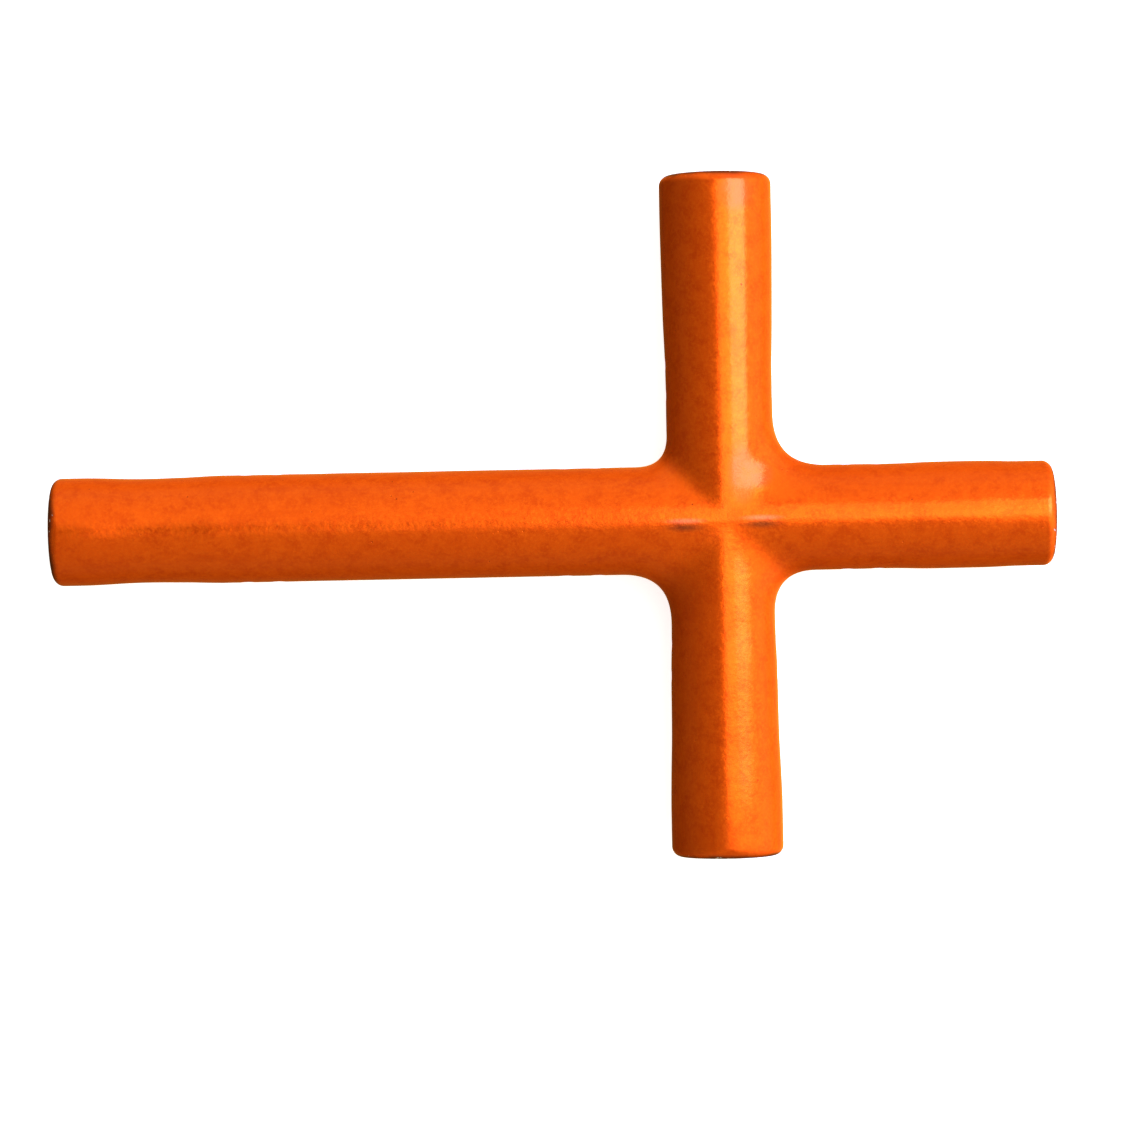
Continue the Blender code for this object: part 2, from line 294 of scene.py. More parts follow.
def pick(piece, test, element="verts"):
    """In edit mode, select the vertices, edges or faces that pass a test, and nothing else."""
    kinds = {"verts": "VERT", "edges": "EDGE", "faces": "FACE"}
    bpy.ops.mesh.select_mode(type=kinds[element])
    bpy.ops.mesh.select_all(action="DESELECT")
    shape = bmesh.from_edit_mesh(piece.data)
    wanted = [item for item in getattr(shape, element) if test(item)]
    if not wanted:
        raise RuntimeError(f"nothing to select on {piece.name}")
    for item in wanted:
        item.select_set(True)
    shape.select_flush_mode()
    bmesh.update_edit_mesh(piece.data)


def apply_place(piece):
    activate(piece)
    bpy.ops.object.transform_apply(location=True, rotation=True, scale=True)


def apply_modifier(piece, kind, name, **values):
    activate(piece)
    modifier = piece.modifiers.new(name, kind)
    for key, value in values.items():
        setattr(modifier, key, value)
    bpy.ops.object.modifier_apply(modifier=modifier.name)


def boolean(piece, cutter, operation="DIFFERENCE"):
    """Cut or join with another piece, which is used up."""
    apply_modifier(piece, "BOOLEAN", operation.lower(), object=cutter, operation=operation,
                   solver="EXACT")
    bpy.data.objects.remove(cutter, do_unlink=True)


def new_piece(name):
    piece = bpy.context.object
    piece.name = piece.data.name = name
    return piece


def lathe(name, outline, side, steps=None, closed=True):
    """Turn an outline of (distance along an arm, radius) points about the arm's axis.

    The outline is drawn point by point with extrude, in the level plane, then spun.
    """
    out, sideways = OUTWARDS[side], across(side)
    points = [HUB + out * distance + sideways * radius for distance, radius in outline]
    deselect()
    bpy.ops.mesh.primitive_plane_add(size=0.001, location=points[0])
    piece = new_piece(name)
    with editing(piece):
        bpy.ops.mesh.select_all(action="SELECT")
        bpy.ops.mesh.merge(type="CENTER")
        for before, after in zip(points, points[1:]):
            bpy.ops.mesh.extrude_region_move(TRANSFORM_OT_translate={"value": after - before})
        if closed:
            bpy.ops.mesh.extrude_region_move(TRANSFORM_OT_translate={"value": points[0] - points[-1]})
        bpy.ops.mesh.select_all(action="SELECT")
        bpy.ops.mesh.remove_doubles(threshold=MERGE)
        bpy.ops.mesh.spin(steps=steps or sizes().turning_steps, angle=math.tau, center=HUB,
                          axis=out)
        bpy.ops.mesh.select_all(action="SELECT")
        bpy.ops.mesh.remove_doubles(threshold=MERGE)
        bpy.ops.mesh.normals_make_consistent(inside=False)
    apply_place(piece)
    return piece


def rod(name, start, end, radius, segments):
    """A plain cylinder between two points, used as a cutter."""
    line = end - start
    deselect()
    bpy.ops.mesh.primitive_cylinder_add(vertices=segments, radius=radius, depth=line.length,
                                        location=(start + end) / 2,
                                        rotation=line.to_track_quat("Z", "Y").to_euler())
    piece = new_piece(name)
    apply_place(piece)
    return piece


def smooth_outline(outline, spacing=0.0015):
    """Closely spaced points on a smooth curve through an outline's few points."""
    slopes = []
    for index in range(len(outline)):
        before = outline[max(index - 1, 0)]
        after = outline[min(index + 1, len(outline) - 1)]
        inner = 0 < index < len(outline) - 1
        slopes.append((after[1] - before[1]) / (after[0] - before[0]) if inner else 0.0)
    points = []
    for index in range(len(outline) - 1):
        (start, low), (end, high) = outline[index], outline[index + 1]
        span = end - start
        count = max(2, round(span / spacing))
        for step in range(count):
            t = step / count
            radius = (2 * t ** 3 - 3 * t ** 2 + 1) * low + (3 * t ** 2 - 2 * t ** 3) * high
            radius += (t ** 3 - 2 * t ** 2 + t) * span * slopes[index]
            radius += (t ** 3 - t ** 2) * span * slopes[index + 1]
            points.append((start + span * t, radius))
    points.append(outline[-1])
    return points


def arc(middle, radius, start, end, steps):
    """Points of an arc in an outline, from one angle to another in degrees. 0 is along the arm."""
    points = []
    for step in range(steps + 1):
        angle = math.radians(start + (end - start) * step / steps)
        points.append((middle[0] + radius * math.cos(angle), middle[1] + radius * math.sin(angle)))
    return points


def set_weights(piece, name, weight):
    """A vertex group whose weights follow from each point's place."""
    group = piece.vertex_groups.new(name=name)
    for point in piece.data.vertices:
        group.add([point.index], max(0.0, min(1.0, weight(point.co))), "REPLACE")
    return group.name


def arm_place(point):
    """Side, distance along that arm and distance from its axis of a point."""
    offset = point - HUB
    side = max(OUTWARDS, key=lambda name: offset.dot(OUTWARDS[name]))
    distance = offset.dot(OUTWARDS[side])
    return side, distance, (offset - OUTWARDS[side] * distance).length


def uneven(piece, weight):
    """Give the outside the slow waves of hand finishing. They fade out at the joints and rims."""
    settings = sizes()
    group = set_weights(piece, "outside", weight)
    waves = bpy.data.textures.get("hand_finish") or bpy.data.textures.new("hand_finish", "CLOUDS")
    waves.noise_scale = settings.wave_length
    waves.noise_depth = 2
    apply_modifier(piece, "DISPLACE", "waves", texture=waves, texture_coords="LOCAL",
                   strength=settings.unevenness, mid_level=0.62, vertex_group=group)
    piece.vertex_groups.clear()


def set_surface(piece, bare, wear):
    """Store how bare each point is, and how much wear and painted shade it takes, for the paint to read."""
    for name, rule in (("bare", bare), ("wear", wear)):
        layer = piece.data.attributes.new(name=name, type="FLOAT", domain="POINT")
        for point, value in zip(piece.data.vertices, layer.data):
            value.value = max(0.0, min(1.0, rule(point.co)))


def finish_piece(piece, slot, material, *nodes, angle=35):
    """Shade a piece, give it its material and put it in place of its CAD nodes."""
    activate(piece)
    bpy.ops.object.shade_smooth_by_angle(angle=math.radians(angle))
    piece.data.materials.clear()
    piece.data.materials.append(material)
    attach(piece, "root")
    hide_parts(*nodes)


# ---------------------------------------------------------------- materials


class NodeTree:
    """A node tree, with short calls for the nodes that it needs."""

    def __init__(self, owner):
        owner.use_nodes = True
        self.nodes = owner.node_tree.nodes
        self.links = owner.node_tree.links

    def connect(self, target, value):
        if hasattr(value, "is_linked"):
            self.links.new(value, target)
        else:
            target.default_value = value

    def ramp(self, value, low, high, bottom=0.0, top=1.0, shape="SMOOTHSTEP"):
        node = self.nodes.new("ShaderNodeMapRange")
        node.interpolation_type = shape
        for key, given in (("Value", value), ("From Min", low), ("From Max", high),
                           ("To Min", bottom), ("To Max", top)):
            self.connect(node.inputs[key], given)
        return node.outputs["Result"]

    def math(self, operation, first, second=0.0):
        node = self.nodes.new("ShaderNodeMath")
        node.operation = operation
        for socket, value in zip(node.inputs, (first, second)):
            self.connect(socket, value)
        return node.outputs["Value"]

    def mix(self, factor, first, second):
        node = self.nodes.new("ShaderNodeMix")
        node.data_type = "RGBA"
        self.connect(node.inputs["Factor"], factor)
        first_colour, second_colour = [socket for socket in node.inputs if socket.type == "RGBA"]
        self.connect(first_colour, first)
        self.connect(second_colour, second)
        return next(socket for socket in node.outputs if socket.type == "RGBA")


class Shader(NodeTree):
    """A material's nodes, placed from the object's own coordinates."""

    def __init__(self, name):
        self.material = bpy.data.materials.new(name)
        super().__init__(self.material)
        self.surface = self.nodes["Principled BSDF"]
        self.place = self.nodes.new("ShaderNodeTexCoord").outputs["Object"]

    def attribute(self, name):
        node = self.nodes.new("ShaderNodeAttribute")
        node.attribute_name = name
        return node.outputs["Fac"]

    def mapped(self, scale, location=(0, 0, 0)):
        node = self.nodes.new("ShaderNodeMapping")
        self.links.new(self.place, node.inputs["Vector"])
        node.inputs["Scale"].default_value = scale
        node.inputs["Location"].default_value = location
        return node.outputs["Vector"]

    def noise(self, scale, detail, roughness=0.55, distortion=0.0, place=None):
        node = self.nodes.new("ShaderNodeTexNoise")
        self.links.new(place or self.place, node.inputs["Vector"])
        for key, value in (("Scale", scale), ("Detail", detail), ("Roughness", roughness),
                           ("Distortion", distortion)):
            node.inputs[key].default_value = value
        return node.outputs["Fac"]

    def cells(self, scale):
        node = self.nodes.new("ShaderNodeTexVoronoi")
        self.links.new(self.place, node.inputs["Vector"])
        node.inputs["Scale"].default_value = scale
        return node.outputs["Distance"]

    def spot(self, along_x, along_y, size, core=0.45):
        """Mask of an oval on the upper side, placed from the hub's axis. It fades out from its core."""
        middle = HUB + Vector((along_x, along_y, TUBE_RADIUS))
        reach = (*size, TUBE_RADIUS)
        length = self.nodes.new("ShaderNodeVectorMath")
        length.operation = "LENGTH"
        self.links.new(self.mapped([1 / part for part in reach],
                                   [-place / part for place, part in zip(middle, reach)]), length.inputs[0])
        return self.ramp(length.outputs["Value"], 1.0, core)

    def bump(self, height, distance, strength, normal=None):
        node = self.nodes.new("ShaderNodeBump")
        node.inputs["Strength"].default_value = strength
        node.inputs["Distance"].default_value = distance
        self.links.new(height, node.inputs["Height"])
        if normal:
            self.links.new(normal, node.inputs["Normal"])
        return node.outputs["Normal"]

    def set(self, **values):
        for key, value in values.items():
            self.connect(self.surface.inputs[key.replace("_", " ")], value)


# Ovals of painted highlight, and of the two short marks on the hub, each a painted highlight over a painted
# shadow: middle from the hub's axis, half sizes
PALE_HIGHLIGHT_OVAL = (0.0250, 0.0150, (0.0170, 0.0105))
HIGHLIGHT_PATCH_PLACES = ((0.0080, REACH["north"] - 0.0095, (0.0100, 0.0110)),
                 (0.0088, 0.0198, (0.0082, 0.0165)),
                 (0.0158, 0.0195, (0.0092, 0.0080)))
MARKS = ((-0.0170, -0.0022), (0.0172, -0.0012))
MARK_BRIGHT = (0.0120, 0.0018)
MARK_DARK = (0.0120, 0.0028)
MARK_OFFSET = 0.0014


def paint_colour(paint, streak):
    """Mottled and streaked orange, with pitted spots, painted highlight patches, and two short marks on the
    hub painted as a highlight over a shadow.
    """
    colours = finish()
    deep, pale, grime_and_shade = tuple(colours.paint_deep), tuple(colours.paint_pale), tuple(colours.grime_and_shade)
    blotch = paint.noise(150, detail=4, roughness=0.6, distortion=0.2)
    grain = paint.noise(620, detail=3, roughness=0.65)
    streaks = paint.noise(170, detail=4, roughness=0.6, place=paint.mapped(streak))
    drift = paint.noise(26, detail=2, roughness=0.5)
    colour = paint.mix(paint.ramp(blotch, 0.30, 0.62), deep, tuple(colours.paint))
    colour = paint.mix(paint.ramp(grain, 0.40, 0.70, top=0.50), colour, pale)
    colour = paint.mix(paint.ramp(streaks, 0.55, 0.72, top=0.50), colour, deep)
    colour = paint.mix(paint.ramp(drift, 0.40, 0.65, top=0.22), colour, deep)
    pits = paint.math("MULTIPLY", paint.ramp(paint.cells(240), 0.10, 0.05),
                      paint.ramp(paint.noise(60, detail=2), 0.56, 0.66))
    colour = paint.mix(paint.math("MULTIPLY", pits, 0.55), colour, grime_and_shade)
    # Painted highlight: the north-east crotch turned paler and yellower, where the light falls brightest.
    pale_highlight = paint.spot(*PALE_HIGHLIGHT_OVAL, core=0.2)
    colour = paint.mix(paint.math("MULTIPLY", pale_highlight, 0.60), colour, pale)
    # Painted highlight patches at the north mouth and on the hub, where the light's reflection falls.
    highlight_patch = 0.0
    for place in HIGHLIGHT_PATCH_PLACES:
        highlight_patch = paint.math("MAXIMUM", highlight_patch, paint.spot(*place))
    highlight_patch = paint.math("MULTIPLY", highlight_patch, paint.ramp(blotch, 0.30, 0.60, bottom=0.45, top=0.95))
    colour = paint.mix(highlight_patch, colour, tuple(colours.highlight_patch))
    # Each mark is a painted highlight above and a painted shadow below, as of a shallow dent.
    for along_x, along_y in MARKS:
        bright = paint.spot(along_x, along_y + MARK_OFFSET, MARK_BRIGHT, core=0.0)
        dark = paint.spot(along_x, along_y - MARK_OFFSET, MARK_DARK, core=0.0)
        colour = paint.mix(paint.math("MULTIPLY", bright, 0.15), colour, tuple(colours.primer_and_highlight))
        colour = paint.mix(paint.math("MULTIPLY", dark, 0.62), colour, grime_and_shade)
    return colour, grain, pits


def paint_material(name, streak):
    """Sprayed orange over rough metal: chipped at the rims and darkened there by dirt and by painted shade,
    bare in the sockets.
    """
    colours = finish()
    paint = Shader(name)
    colour, grain, pits = paint_colour(paint, streak)
    wear, bare = paint.attribute("wear"), paint.attribute("bare")
    chip_noise = paint.noise(240, detail=2, roughness=0.6)
    chips = paint.ramp(paint.math("ADD", chip_noise, paint.math("MULTIPLY", wear, 0.30)), 0.90, 0.93)
    dirt_noise = paint.math("MULTIPLY", paint.math("SUBTRACT", paint.noise(90, detail=2), 0.5), 0.7)
    # Darker towards the rims: partly dirt, partly painted shade.
    dirt_and_shade = paint.ramp(paint.math("ADD", wear, dirt_noise), 0.50, 0.95)
    colour = paint.mix(paint.math("MULTIPLY", dirt_and_shade, 0.88), colour, tuple(colours.grime_and_shade))
    colour = paint.mix(chips, colour, tuple(colours.primer_and_highlight))
    edge_noise = paint.math("MULTIPLY", paint.math("SUBTRACT", chip_noise, 0.5), 0.5)
    steel_share = paint.ramp(paint.math("ADD", bare, edge_noise), 0.42, 0.62)
    rust = paint.ramp(paint.noise(140, detail=6, roughness=0.7), 0.50, 0.68, top=0.8)
    steel = paint.mix(rust, tuple(colours.steel), tuple(colours.rust))
    colour = paint.mix(steel_share, colour, steel)
    clean_steel = paint.math("MULTIPLY", steel_share, paint.math("SUBTRACT", 1.0, rust))
    painted = paint.math("SUBTRACT", 1.0, paint.math("MAXIMUM", steel_share, chips))
    metal = paint.math("ADD", clean_steel, paint.math("MULTIPLY", painted, colours.metallic))
    rough = paint.math("ADD", paint.ramp(grain, 0.3, 0.8, bottom=0.19, top=0.27),
                       paint.math("MULTIPLY", paint.math("MAXIMUM", dirt_and_shade, chips), 0.25))
    relief = paint.bump(paint.noise(430, detail=2, roughness=0.5), distance=0.00016, strength=0.6)
    relief = paint.bump(paint.noise(1300, detail=3, roughness=0.6), 0.00003, 0.5, relief)
    relief = paint.bump(paint.math("SUBTRACT", 1.0, paint.math("MAXIMUM", pits, chips)), 0.00025, 0.8, relief)
    relief = paint.bump(paint.math("SUBTRACT", 1.0, steel_share), 0.00020, 0.7, relief)
    paint.set(Base_Color=colour, Metallic=metal, Roughness=rough, Normal=relief)
    paint.set(Specular_Tint=tuple(colours.gloss_tint), Specular_IOR_Level=0.5)
    paint.set(Coat_Weight=0.08, Coat_Roughness=0.16)
    return paint.material


def steel_material(name, base, rust_amount, roughness):
    """Pressed or hardened steel: fine scratches, oil stains, rust spots and overspray at the edges."""
    colours = finish()
    steel = Shader(name)
    oily = (*[part * 0.55 for part in base[:3]], 1)
    stain = steel.noise(120, detail=5, roughness=0.6)
    scratches = steel.noise(1400, detail=2, roughness=0.5, place=steel.mapped((1.0, 0.15, 1.0)))
    rust = steel.ramp(steel.noise(210, detail=6, roughness=0.7), 0.62 - rust_amount, 0.75 - rust_amount,
                      top=0.85)
    colour = steel.mix(steel.ramp(stain, 0.35, 0.7, top=0.6), tuple(base), oily)
    colour = steel.mix(rust, colour, tuple(colours.rust))
    spray = steel.math("ADD", steel.attribute("wear"), steel.noise(380, detail=4))
    painted = steel.ramp(steel.math("SUBTRACT", spray, 0.5), 0.45, 0.60)
    colour = steel.mix(painted, colour, tuple(colours.paint))
    metal = steel.math("MULTIPLY", steel.math("SUBTRACT", 1.0, rust),
                       steel.math("SUBTRACT", 1.0, steel.math("MULTIPLY", painted, 0.5)))
    rough = steel.math("ADD", steel.ramp(scratches, 0.3, 0.7, roughness - 0.08, roughness + 0.10),
                       steel.math("MULTIPLY", rust, 0.3))
    relief = steel.bump(scratches, distance=0.00003, strength=0.5)
    relief = steel.bump(stain, 0.00010, 0.3, relief)
    steel.set(Base_Color=colour, Metallic=metal, Roughness=rough, Normal=relief)
    return steel.material


def material(name, make, *values):
    return bpy.data.materials.get(name) or make(name, *values)


def orange(side=None):
    """The paint, with streaks along one arm."""
    if side in ("east", "west"):
        return material("orange_paint_along_x", paint_material, (0.12, 1.0, 1.0))
    if side in ("north", "south"):
        return material("orange_paint_along_y", paint_material, (1.0, 0.12, 1.0))
    return material("orange_paint_hub", paint_material, (0.7, 0.7, 0.7))


# ---------------------------------------------------------------- pieces


def cage_place(surface, neighbour):
    """Place of a cage point whose smoothed surface lies at one place, between two like neighbours."""
    return (6 * surface - 2 * neighbour) / 4


def cage_targets():
    """Where the points of the hub's middle block go, for steps of -1, 0 or 1 along each axis."""
    crest, ridge_out = 0.0238, 0.0170
    shoulder_out, shoulder_up = 0.0195, 0.0190
    ridge_up = cage_place(crest, shoulder_up)
    targets = {}
    for step in itertools.product((-1, 0, 1), repeat=3):
        step_x, step_y, step_z = step
        if all(step):
            place = (step_x * shoulder_out, step_y * shoulder_out, step_z * shoulder_up)
        elif step_x and step_y:
            reach_x, reach_y = [cage_place(crotch, shoulder_out) for crotch in CAGE_CROTCHES[step_x, step_y]]
            place = (step_x * reach_x, step_y * reach_y, 0)
        elif step_z and (step_x or step_y):
            place = (step_x * ridge_out, step_y * ridge_out, step_z * ridge_up)
        elif step_z:
            place = (0, 0, step_z * cage_place(crest, ridge_up))
        else:
            continue
        targets[step] = Vector(place)
    return targets


def move_point(piece, place, target):
    """Move the cage point at one place to another."""
    pick(piece, lambda point: (point.co - place).length < TINY)
    bpy.ops.transform.translate(value=target - place)


def stub_ring(piece, side, half, ring, radius):
    """Draw one side of the block out to an octagonal ring, and on to the stub's end face."""
    out, sideways, end = OUTWARDS[side], across(side), sizes().hub_end

    def faces_at(distance):
        return lambda face: (face.normal.dot(out) > 0.9
                             and abs(face.calc_center_median().dot(out) - distance) < TINY)

    def is_corner(point):
        return (abs(point.co.dot(out) - ring) < TINY
                and min(abs(point.co.dot(sideways)), abs(point.co.z)) > MIDDLE)

    def on_end_edge(edge):
        return (all(abs(point.co.dot(out) - end) < TINY
                    and max(abs(point.co.dot(sideways)), abs(point.co.z)) > MIDDLE for point in edge.verts)
                and len({round(face.normal.dot(out)) for face in edge.link_faces}) > 1)

    def widen(share):
        scale = Vector([1 if part else share for part in out])
        bpy.ops.transform.resize(value=scale, center_override=out * ring)

    pick(piece, faces_at(half), "faces")
    bpy.ops.mesh.extrude_region_move(TRANSFORM_OT_translate={"value": out * (ring - half)})
    widen(radius / half)
    pick(piece, is_corner)
    widen(math.sqrt(0.5))
    pick(piece, faces_at(ring), "faces")
    bpy.ops.mesh.extrude_region_move(TRANSFORM_OT_translate={"value": out * (end - ring)})
    pick(piece, on_end_edge, "edges")
    bpy.ops.transform.edge_crease(value=1)


def hub_cage():
    """Cage of the hub: a subdivided block, octagonal stubs drawn out of its sides, crotches moved."""
    half, ring = 0.010, 0.038
    octagon_shrink = (4 + 2 * math.cos(math.pi / 4)) / 6
    deselect()
    bpy.ops.mesh.primitive_cube_add(size=2 * half, location=(0, 0, 0))
    piece = new_piece("cross_hub_casting")
    with editing(piece):
        bpy.ops.mesh.select_all(action="SELECT")
        bpy.ops.mesh.subdivide(number_cuts=1)
        for side in OUTWARDS:
            stub_ring(piece, side, half, ring, root_radius(side) / octagon_shrink)
        for step, target in cage_targets().items():
            move_point(piece, Vector(step) * half, target)
        bpy.ops.mesh.select_mode(type="VERT")
        bpy.ops.mesh.select_all(action="SELECT")
        bpy.ops.transform.translate(value=HUB)
        bpy.ops.mesh.normals_make_consistent(inside=False)
    return piece


def eased(value, low, high):
    """Share from 0 at the low value to 1 at the high one, with a soft start and end."""
    share = max(0.0, min(1.0, (value - low) / (high - low)))
    return share * share * (3 - 2 * share)


def onto_arms(place):
    """Step of a point towards the skin of four tubes that meet, rounded together at the crotches.

    The rounding is full level with the axes, where the crotches are, and dies out overhead.
    """
    x, y, z = place
    blend = 0.02
    east, north = eased(x, -blend, blend), eased(y, -blend, blend)
    first, second = Vector((x, 0, z)), Vector((0, y, z))
    gap_first = first.length - (root_radius("south") * (1 - north) + root_radius("north") * north)
    gap_second = second.length - (root_radius("west") * (1 - east) + root_radius("east") * east)
    first.normalize()
    second.normalize()
    width = sum(rounding * (east if side_x > 0 else 1 - east) * (north if side_y > 0 else 1 - north)
                for (side_x, side_y), rounding in CROTCHES.items())
    width = max(1e-6, width * (1 - first.dot(second)) ** sizes().crotch_fade)
    share = max(0.0, 1 - abs(gap_first - gap_second) / width)
    gap = min(gap_first, gap_second) - share * share * width / 4
    near, far = (first, second) if gap_first < gap_second else (second, first)
    slope = near * (1 - share / 2) + far * (share / 2)
    return place - slope * (gap / slope.length_squared)


def round_crotches(piece):
    """Draw the hub's outside onto the rounded meeting of its arms. The flat end faces stay."""
    for point in piece.data.vertices:
        if arm_place(point.co)[1] < sizes().hub_end - TINY:
            for _ in range(5):
                point.co = HUB + onto_arms(point.co - HUB)


def add_spigots(piece):
    """Turn each flat stub end into a shoulder with a chamfered spigot, then core the hub."""
    settings = sizes()
    radius = settings.spigot_radius
    with editing(piece):
        for side, out in OUTWARDS.items():
            pick(piece, lambda face: face.normal.dot(out) > 0.99
                 and (face.calc_center_median() - HUB).dot(out) > settings.hub_end - TINY, "faces")
            bpy.ops.mesh.dissolve_faces()
            bpy.ops.mesh.inset(thickness=root_radius(side) - radius)
            for length in (SPIGOT_TIP - settings.hub_end - CHAMFER, CHAMFER):
                bpy.ops.mesh.extrude_region_move(TRANSFORM_OT_translate={"value": out * length})
            scale = Vector([1 if part else (radius - CHAMFER) / radius for part in out])
            bpy.ops.transform.resize(value=scale, center_override=HUB + out * SPIGOT_TIP)
    for out in (OUTWARDS["east"], OUTWARDS["north"]):
        boolean(piece, rod("core", HUB - out * 0.1, HUB + out * 0.1, settings.core_radius, segments=64))


def pin_axis(joint, station):
    side = arm_of(joint)
    return HUB + OUTWARDS[side] * station, across(side)


def drill(piece, *joints):
    """Drill the level pin holes of some joints."""
    settings = sizes()
    for joint in joints:
        for station in PIN_STATIONS[joint]:
            middle, line = pin_axis(joint, station)
            boolean(piece, rod("drill", middle - line * 0.03, middle + line * 0.03, settings.pin_hole,
                               segments=32))


class WRENCH_OT_cross_hub(bpy.types.Operator):
    """Model the cast cross hub with its filleted crotches and four spigots"""

    bl_idname = "wrench.cross_hub"
    bl_label = "Cross hub"

    def execute(self, context):
        end, levels = sizes().hub_end, sizes().hub_levels
        piece = hub_cage()
        apply_modifier(piece, "SUBSURF", "smooth", levels=levels, render_levels=levels)
        round_crotches(piece)
        uneven(piece, lambda co: (end - arm_place(co)[1]) / FADE)
        add_spigots(piece)
        drill(piece, *OUTWARDS)
        set_surface(piece, bare=lambda co: float(arm_place(co)[1] > end + CLEAR), wear=lambda co: 0.0)
        finish_piece(piece, "orange_paint", orange(), "cross_hub")
        return {"FINISHED"}


class WRENCH_OT_long_arm_tube(bpy.types.Operator):
    """Model the steel tube of the long arm"""

    bl_idname = "wrench.long_arm_tube"
    bl_label = "Long arm tube"

    def execute(self, context):
        near, far = sizes().hub_end, TUBE_FAR
        bore = sizes().spigot_radius + FIT
        outline = smooth_outline(((near, TUBE_RADIUS), (far, TUBE_RADIUS)))
        outline += [(far, bore), (near, bore)]
        piece = lathe("long_arm_pipe", outline, "west")

        def outside(co):
            _, distance, radius = arm_place(co)
            return min(distance - near, far - distance) / FADE if radius > bore + 0.002 else 0.0

        uneven(piece, outside)
        drill(piece, "west", "tube")
        set_surface(piece, bare=lambda co: float(arm_place(co)[2] < bore + CLEAR), wear=lambda co: 0.0)
        finish_piece(piece, "orange_paint", orange("west"), "long_arm_tube")
        return {"FINISHED"}


def head_bore(side):
    """Outline of a head's bore, from its root to the lead-in of its socket."""
    settings = sizes()
    _, flat = socket_radii(side)
    plug_bore, floor = flat - FIT, REACH[side] - settings.socket_depth
    shoulder, shoulder_at = plug_bore - 0.0015, floor - PLUG_HEIGHT - FIT
    radius = settings.spigot_radius
    if side == "west":
        tip = TUBE_FAR - (SPIGOT_TIP - settings.hub_end)
        root = [(TUBE_FAR, radius), (tip + CHAMFER, radius), (tip, radius - CHAMFER), (tip, shoulder)]
    else:
        end = SPIGOT_TIP + CHAMFER
        root = [(settings.hub_end, radius + FIT), (end, radius + FIT), (end, shoulder)]
    return root + [(shoulder_at, shoulder), (shoulder_at, plug_bore),
                   (REACH[side] - settings.lead_in - FIT, plug_bore)]


def socket_prism(side):
    """The space of the nut: a prism with rounded corners, one corner up on a pentagon."""
    sides, _, rounding = socket_shape(side)
    corner, _ = socket_radii(side)
    depth = sizes().socket_depth
    out = OUTWARDS[side]
    deselect()
    bpy.ops.mesh.primitive_cylinder_add(vertices=sides, radius=corner, depth=2 * depth, location=(0, 0, 0))
    piece = new_piece("nut_space")
    highest = max(piece.data.vertices, key=lambda point: point.co.y)
    lean = math.atan2(highest.co.y, highest.co.x)
    wanted = math.pi / 2 if sides % 2 else math.pi / 4
    turn = Matrix.Rotation(wanted - lean, 4, "Z")
    frame_of_arm = Matrix((across(side), UP, out)).transposed().to_4x4()
    with editing(piece):
        pick(piece, lambda edge: abs(edge.verts[0].co.z - edge.verts[1].co.z) > depth, "edges")
        reach = rounding / math.tan(math.pi * (1 - 2 / sides) / 2)
        bpy.ops.mesh.bevel(offset=reach, segments=6, profile=0.5, affect="EDGES")
    piece.matrix_world = Matrix.Translation(HUB + out * REACH[side]) @ frame_of_arm @ turn
    apply_place(piece)
    return piece


def model_head(side):
    """Turn one head with its rounded rim and bore, then cut its socket and pin holes."""
    settings = sizes()
    reach, mouth, rim = REACH[side], head_outline(side)[-1][1], settings.rim_round
    corner, flat = socket_radii(side)
    spigot = settings.spigot_radius
    root = TUBE_FAR if side == "west" else settings.hub_end
    outline = smooth_outline(head_outline(side))
    outline += arc((reach - rim, mouth - rim), rim, 90, 0, 10)
    outline += [(reach, flat + settings.lead_in)] + head_bore(side)[::-1]
    piece = lathe(f"{side}_socket_head", outline, side)

    def outside(co):
        _, distance, radius = arm_place(co)
        return min(distance - root, reach - distance) / FADE if radius > spigot + 0.0025 else 0.0

    uneven(piece, outside)
    boolean(piece, socket_prism(side))
    drill(piece, "tube" if side == "west" else side)

    def bare(co):
        """1 on the spigot and in the bore, and rising from the mouth to the floor of the socket."""
        _, distance, radius = arm_place(co)
        if distance < root - CLEAR or (radius < spigot + 0.0006 and distance < reach - 0.05):
            return 1.0
        in_socket = radius < min(flat + 0.0050, corner + 0.0002) and distance > root + 0.001
        return (reach - distance) / 0.010 if in_socket else 0.0

    def wear(co):
        """Some in the bore, and most on the rounded rim, from where it fades both ways. On the rim it is dirt
        and painted shade together.
        """
        _, distance, radius = arm_place(co)
        if radius < flat:
            return 0.4
        # Painted shade: the dark band is wider on the west rim, which faces away from the light.
        along = 1.0 - (reach - distance) / (0.0065 if side == "west" else 0.0042)
        inwards = (radius - mouth + 0.0090) / 0.0045
        return min(along, inwards)

    set_surface(piece, bare, wear)
    finish_piece(piece, "orange_paint", orange(side), HEAD_NODES[side])


class WRENCH_OT_socket_heads(bpy.types.Operator):
    """Model the four socket heads with their rounded rims and nut sockets"""

    bl_idname = "wrench.socket_heads"
    bl_label = "Socket heads"

    def execute(self, context):
        for side in OUTWARDS:
            model_head(side)
        return {"FINISHED"}


